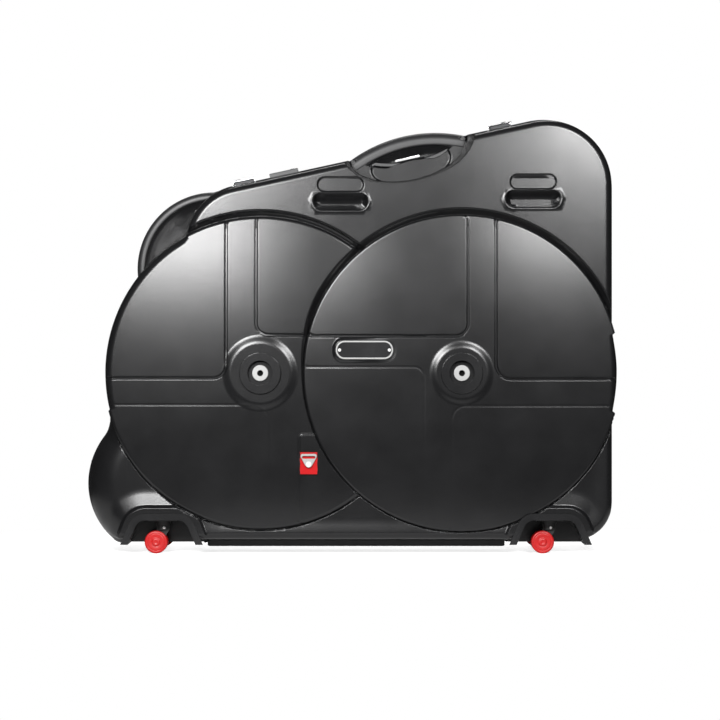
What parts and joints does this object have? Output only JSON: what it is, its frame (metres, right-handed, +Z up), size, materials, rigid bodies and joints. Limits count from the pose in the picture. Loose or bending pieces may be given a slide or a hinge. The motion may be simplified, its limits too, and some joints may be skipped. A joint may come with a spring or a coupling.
{
  "type": "bike travel case",
  "caption": "Hard-shell clamshell travel case for a bicycle, with round wheel bulges, carry handles, top latches, a tow ring and swivel casters.",
  "frame": {"origin": "floor level under the middle of the case", "axes": "+X along the length towards the tall end, -Y the front face, +Z up"},
  "size_m": [1.1919, 0.366, 0.9737],
  "materials": {
    "shell_black": "satin grained",
    "trim_black": "satin",
    "seal_rubber": "matte",
    "foam_grey": "open-cell foam",
    "steel": "zinc plated",
    "chrome": "polished",
    "webbing_red": "woven",
    "plate_black": "gloss",
    "lock_dark": "satin",
    "knob_black": "satin",
    "caster_black": "satin",
    "wheel_red": "semi-gloss"
  },
  "bodies": {
    "rear_half": {"rear_shell": "shell_black", "rear_rim": "trim_black", "rim_seal": "seal_rubber", "rear_foam_pad": "foam_grey", "top_handle": "trim_black", "corner_handle": "trim_black", "rear_runner": "trim_black", "rear_hinge_leaves": "steel", "hinge_pins": "steel", "rear_hinge_rivets": "steel", "rear_caster_housings": "trim_black", "rear_caster_plates": "steel", "rear_hub_collars": "trim_black", "rear_hub_bushes": "chrome", "rear_wheel_studs": "steel", "left_latch_base": "chrome", "right_latch_base": "chrome", "lock_body": "trim_black"},
    "front_half": {"front_shell": "shell_black", "front_rim": "trim_black", "front_foam_pad": "foam_grey", "front_runner": "trim_black", "front_hinge_leaves": "steel", "front_hinge_rivets": "steel", "front_caster_housings": "trim_black", "front_caster_plates": "steel", "front_hub_collars": "trim_black", "front_hub_bushes": "chrome", "front_wheel_studs": "steel", "left_latch_keeper": "chrome", "right_latch_keeper": "chrome", "lock_keeper": "trim_black", "nameplate": "plate_black", "nameplate_rivets": "steel", "tow_rivet": "steel"},
    "tow_anchor": {"tow_ring": "chrome", "tow_tab": "webbing_red"},
    "lock_slider": {"lock_button": "lock_dark"},
    "left_lever": {"left_latch_lever": "chrome"},
    "left_bail": {"left_latch_bail": "chrome"},
    "left_key": {"left_key_cylinder": "lock_dark"},
    "front_left_knob": {"front_left_clamp_knob": "knob_black"},
    "front_left_caster": {"front_left_caster_fork": "caster_black"},
    "front_left_wheels": {"front_left_caster_wheels": "wheel_red", "front_left_caster_axle": "steel"},
    "rear_left_knob": {"rear_left_clamp_knob": "knob_black"},
    "rear_left_caster": {"rear_left_caster_fork": "caster_black"},
    "rear_left_wheels": {"rear_left_caster_wheels": "wheel_red", "rear_left_caster_axle": "steel"},
    "right_lever": {"right_latch_lever": "chrome"},
    "right_bail": {"right_latch_bail": "chrome"},
    "right_key": {"right_key_cylinder": "lock_dark"},
    "front_right_knob": {"front_right_clamp_knob": "knob_black"},
    "front_right_caster": {"front_right_caster_fork": "caster_black"},
    "front_right_wheels": {"front_right_caster_wheels": "wheel_red", "front_right_caster_axle": "steel"},
    "rear_right_knob": {"rear_right_clamp_knob": "knob_black"},
    "rear_right_caster": {"rear_right_caster_fork": "caster_black"},
    "rear_right_wheels": {"rear_right_caster_wheels": "wheel_red", "rear_right_caster_axle": "steel"}
  },
  "joints": [
    {"name": "lid_hinge", "type": "hinge", "parent": "rear_half", "child": "front_half", "pos_m": [0, 0, 0.016], "axis": [1, 0, 0], "range_deg": [0, 140]},
    {"name": "tow_swivel", "type": "hinge", "parent": "front_half", "child": "tow_anchor", "pos_m": [-0.097, -0.1732, 0.2], "axis": [0, 1, 0], "range_deg": [-90, 90]},
    {"name": "lock_slide", "type": "slide", "parent": "rear_half", "child": "lock_slider", "axis": [0.977, 0, 0.213], "range_m": [-0.008, 0]},
    {"name": "left_latch", "type": "hinge", "parent": "rear_half", "child": "left_lever", "pos_m": [-0.2487, 0.008, 0.83636], "axis": [0.977, 0, 0.213], "range_deg": [0, 100]},
    {"name": "left_bail_swing", "type": "hinge", "parent": "left_lever", "child": "left_bail", "pos_m": [-0.24892, 0.02, 0.83734], "axis": [0.977, 0, 0.213], "range_deg": [-130, 0]},
    {"name": "left_key_turn", "type": "hinge", "parent": "left_lever", "child": "left_key", "pos_m": [-0.26117, 0.0285, 0.83722], "axis": [-0.213, 0, 0.977], "range_deg": [0, 90]},
    {"name": "front_left_knob_turn", "type": "hinge", "parent": "front_half", "child": "front_left_knob", "pos_m": [-0.204, -0.109, 0.401], "axis": [0, 1, 0], "continuous": true},
    {"name": "front_left_swivel", "type": "hinge", "parent": "front_half", "child": "front_left_caster", "pos_m": [-0.422, -0.116, 0.06], "axis": [0, 0, 1], "continuous": true},
    {"name": "front_left_roll", "type": "hinge", "parent": "front_left_caster", "child": "front_left_wheels", "pos_m": [-0.437, -0.116, 0.0255], "axis": [0, 1, 0], "continuous": true},
    {"name": "rear_left_knob_turn", "type": "hinge", "parent": "rear_half", "child": "rear_left_knob", "pos_m": [-0.204, 0.109, 0.401], "axis": [0, 1, 0], "continuous": true},
    {"name": "rear_left_swivel", "type": "hinge", "parent": "rear_half", "child": "rear_left_caster", "pos_m": [-0.422, 0.116, 0.06], "axis": [0, 0, 1], "continuous": true},
    {"name": "rear_left_roll", "type": "hinge", "parent": "rear_left_caster", "child": "rear_left_wheels", "pos_m": [-0.437, 0.116, 0.0255], "axis": [0, 1, 0], "continuous": true},
    {"name": "right_latch", "type": "hinge", "parent": "rear_half", "child": "right_lever", "pos_m": [0.3323, 0.008, 0.96304], "axis": [0.977, 0, 0.213], "range_deg": [0, 100]},
    {"name": "right_bail_swing", "type": "hinge", "parent": "right_lever", "child": "right_bail", "pos_m": [0.33208, 0.02, 0.96402], "axis": [0.977, 0, 0.213], "range_deg": [-130, 0]},
    {"name": "right_key_turn", "type": "hinge", "parent": "right_lever", "child": "right_key", "pos_m": [0.34327, 0.0285, 0.96902], "axis": [-0.213, 0, 0.977], "range_deg": [0, 90]},
    {"name": "front_right_knob_turn", "type": "hinge", "parent": "front_half", "child": "front_right_knob", "pos_m": [0.241, -0.109, 0.401], "axis": [0, 1, 0], "continuous": true},
    {"name": "front_right_swivel", "type": "hinge", "parent": "front_half", "child": "front_right_caster", "pos_m": [0.437, -0.116, 0.06], "axis": [0, 0, 1], "continuous": true},
    {"name": "front_right_roll", "type": "hinge", "parent": "front_right_caster", "child": "front_right_wheels", "pos_m": [0.422, -0.116, 0.0255], "axis": [0, 1, 0], "continuous": true},
    {"name": "rear_right_knob_turn", "type": "hinge", "parent": "rear_half", "child": "rear_right_knob", "pos_m": [0.241, 0.109, 0.401], "axis": [0, 1, 0], "continuous": true},
    {"name": "rear_right_swivel", "type": "hinge", "parent": "rear_half", "child": "rear_right_caster", "pos_m": [0.437, 0.116, 0.06], "axis": [0, 0, 1], "continuous": true},
    {"name": "rear_right_roll", "type": "hinge", "parent": "rear_right_caster", "child": "rear_right_wheels", "pos_m": [0.422, 0.116, 0.0255], "axis": [0, 1, 0], "continuous": true}
  ],
  "couplings": [
    {"joint": "left_bail_swing", "follows": "left_latch", "ratio": -1.25},
    {"joint": "right_bail_swing", "follows": "right_latch", "ratio": -1.25}
  ]
}
